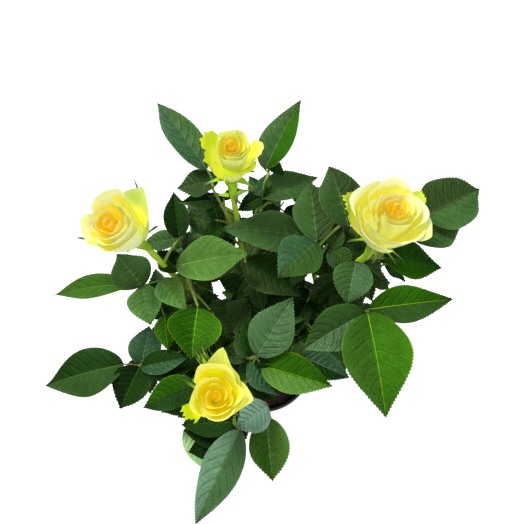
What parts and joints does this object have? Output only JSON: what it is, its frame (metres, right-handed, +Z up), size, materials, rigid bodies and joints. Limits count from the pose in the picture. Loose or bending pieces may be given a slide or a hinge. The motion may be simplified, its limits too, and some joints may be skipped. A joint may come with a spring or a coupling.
{
  "type": "potted miniature rose bush",
  "caption": "Small rose bush in a tapered plastic pot, with slender leaning canes, leafy compound leaves and open blooms held above the crown.",
  "frame": {"origin": "centre of the pot's flat underside", "axes": "+Z up, -Y towards the side where the longest drooping leaf hangs"},
  "size_m": [0.3315, 0.2845, 0.3272],
  "materials": {
    "pot": "satin black nursery plastic",
    "soil": "rough moist compost",
    "cane": "smooth green bark with reddish tints",
    "leaf": "satin quilted leaf",
    "petal": "soft satin petal"
  },
  "bodies": {
    "root": {"bloom_back": "petal", "bloom_front": "petal", "bloom_left": "petal", "bloom_right": "petal", "bough_centre": "cane", "bough_centre_right": "cane", "bough_far_left": "cane", "bough_far_right": "cane", "bough_front_long": "cane", "bough_front_right": "cane", "bough_light_left": "cane", "bough_lower_left": "cane", "bough_top_left": "cane", "bough_top_right": "cane", "cane_back": "cane", "cane_front": "cane", "cane_left": "cane", "cane_right": "cane", "cane_short": "cane", "leaves_behind_right": "leaf", "leaves_centre": "leaf", "leaves_centre_back": "leaf", "leaves_centre_right": "leaf", "leaves_far_left": "leaf", "leaves_far_right": "leaf", "leaves_front_blue": "leaf", "leaves_front_dark": "leaf", "leaves_front_long": "leaf", "leaves_front_mint": "leaf", "leaves_front_right": "leaf", "leaves_inner": "leaf", "leaves_left_front": "leaf", "leaves_light_left": "leaf", "leaves_low_back": "leaf", "leaves_low_back_left": "leaf", "leaves_low_back_right": "leaf", "leaves_low_front": "leaf", "leaves_low_left": "leaf", "leaves_low_right": "leaf", "leaves_lower_left": "leaf", "leaves_lower_right": "leaf", "leaves_mid_left": "leaf", "leaves_right_bright": "leaf", "leaves_right_front": "leaf", "leaves_right_small": "leaf", "leaves_skirt_back": "leaf", "leaves_skirt_front": "leaf", "leaves_skirt_left": "leaf", "leaves_skirt_right": "leaf", "leaves_top_left": "leaf", "leaves_top_right": "leaf", "leaves_under_top": "leaf", "leaves_upper_left": "leaf", "leaves_upper_right": "leaf", "pot": "pot", "soil": "soil"}
  },
  "joints": []
}
